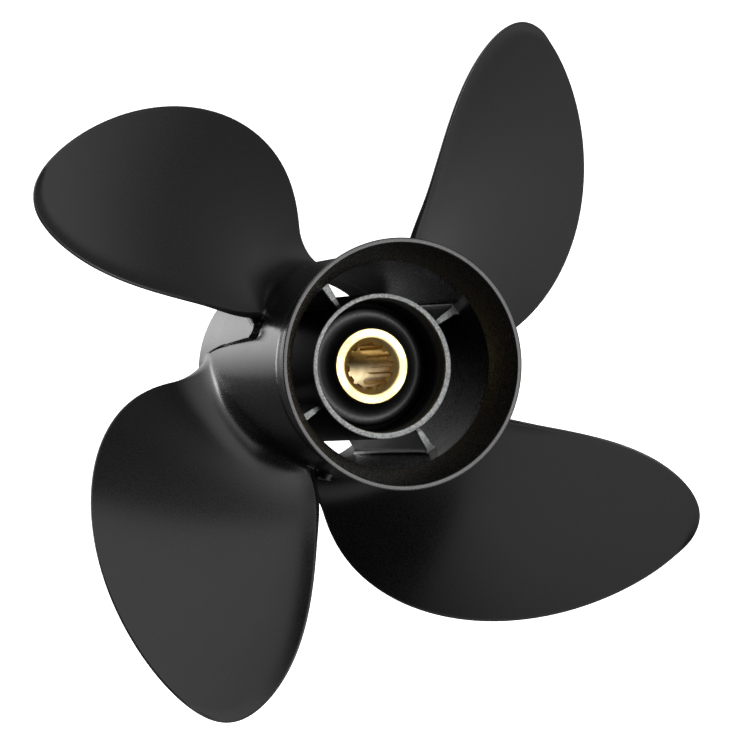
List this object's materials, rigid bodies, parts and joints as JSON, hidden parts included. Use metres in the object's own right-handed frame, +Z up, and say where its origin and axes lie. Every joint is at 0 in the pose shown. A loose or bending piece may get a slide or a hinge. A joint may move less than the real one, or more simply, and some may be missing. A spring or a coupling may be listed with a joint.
{
  "type": "boat propeller",
  "caption": "Black outboard propeller with wide raked blades on a flared through-hub-exhaust barrel, and a rubber-cushioned brass splined sleeve.",
  "frame": {"origin": "on the spin axis at the front face of the splined sleeve, where it seats on the shaft's thrust cone", "axes": "+Y forward along the spin axis towards the gearcase, +Z up; the flared exhaust rim is at the -Y end"},
  "size_m": [0.322, 0.1586, 0.322],
  "materials": {
    "black_paint": "satin",
    "cast_aluminium": "matte",
    "rubber": "satin",
    "brass": "satin"
  },
  "bodies": {
    "sleeve": {"drive_sleeve": "brass"},
    "cushion": {"rubber_bush": "rubber"},
    "casting": {"outer_barrel": "black_paint", "inner_hub": "cast_aluminium", "rib_1": "black_paint", "rib_2": "black_paint", "rib_3": "black_paint", "rib_4": "black_paint", "blade_1": "black_paint", "blade_2": "black_paint", "blade_3": "black_paint", "blade_4": "black_paint"}
  },
  "joints": [
    {"name": "bush_windup", "type": "hinge", "parent": "sleeve", "child": "cushion", "pos_m": [0, 0, 0], "axis": [0, 1, 0], "range_deg": [-9, 9], "stiffness_Nm_per_rad": 1500},
    {"name": "overload_slip", "type": "hinge", "parent": "cushion", "child": "casting", "pos_m": [0, 0, 0], "axis": [0, 1, 0], "continuous": true}
  ]
}
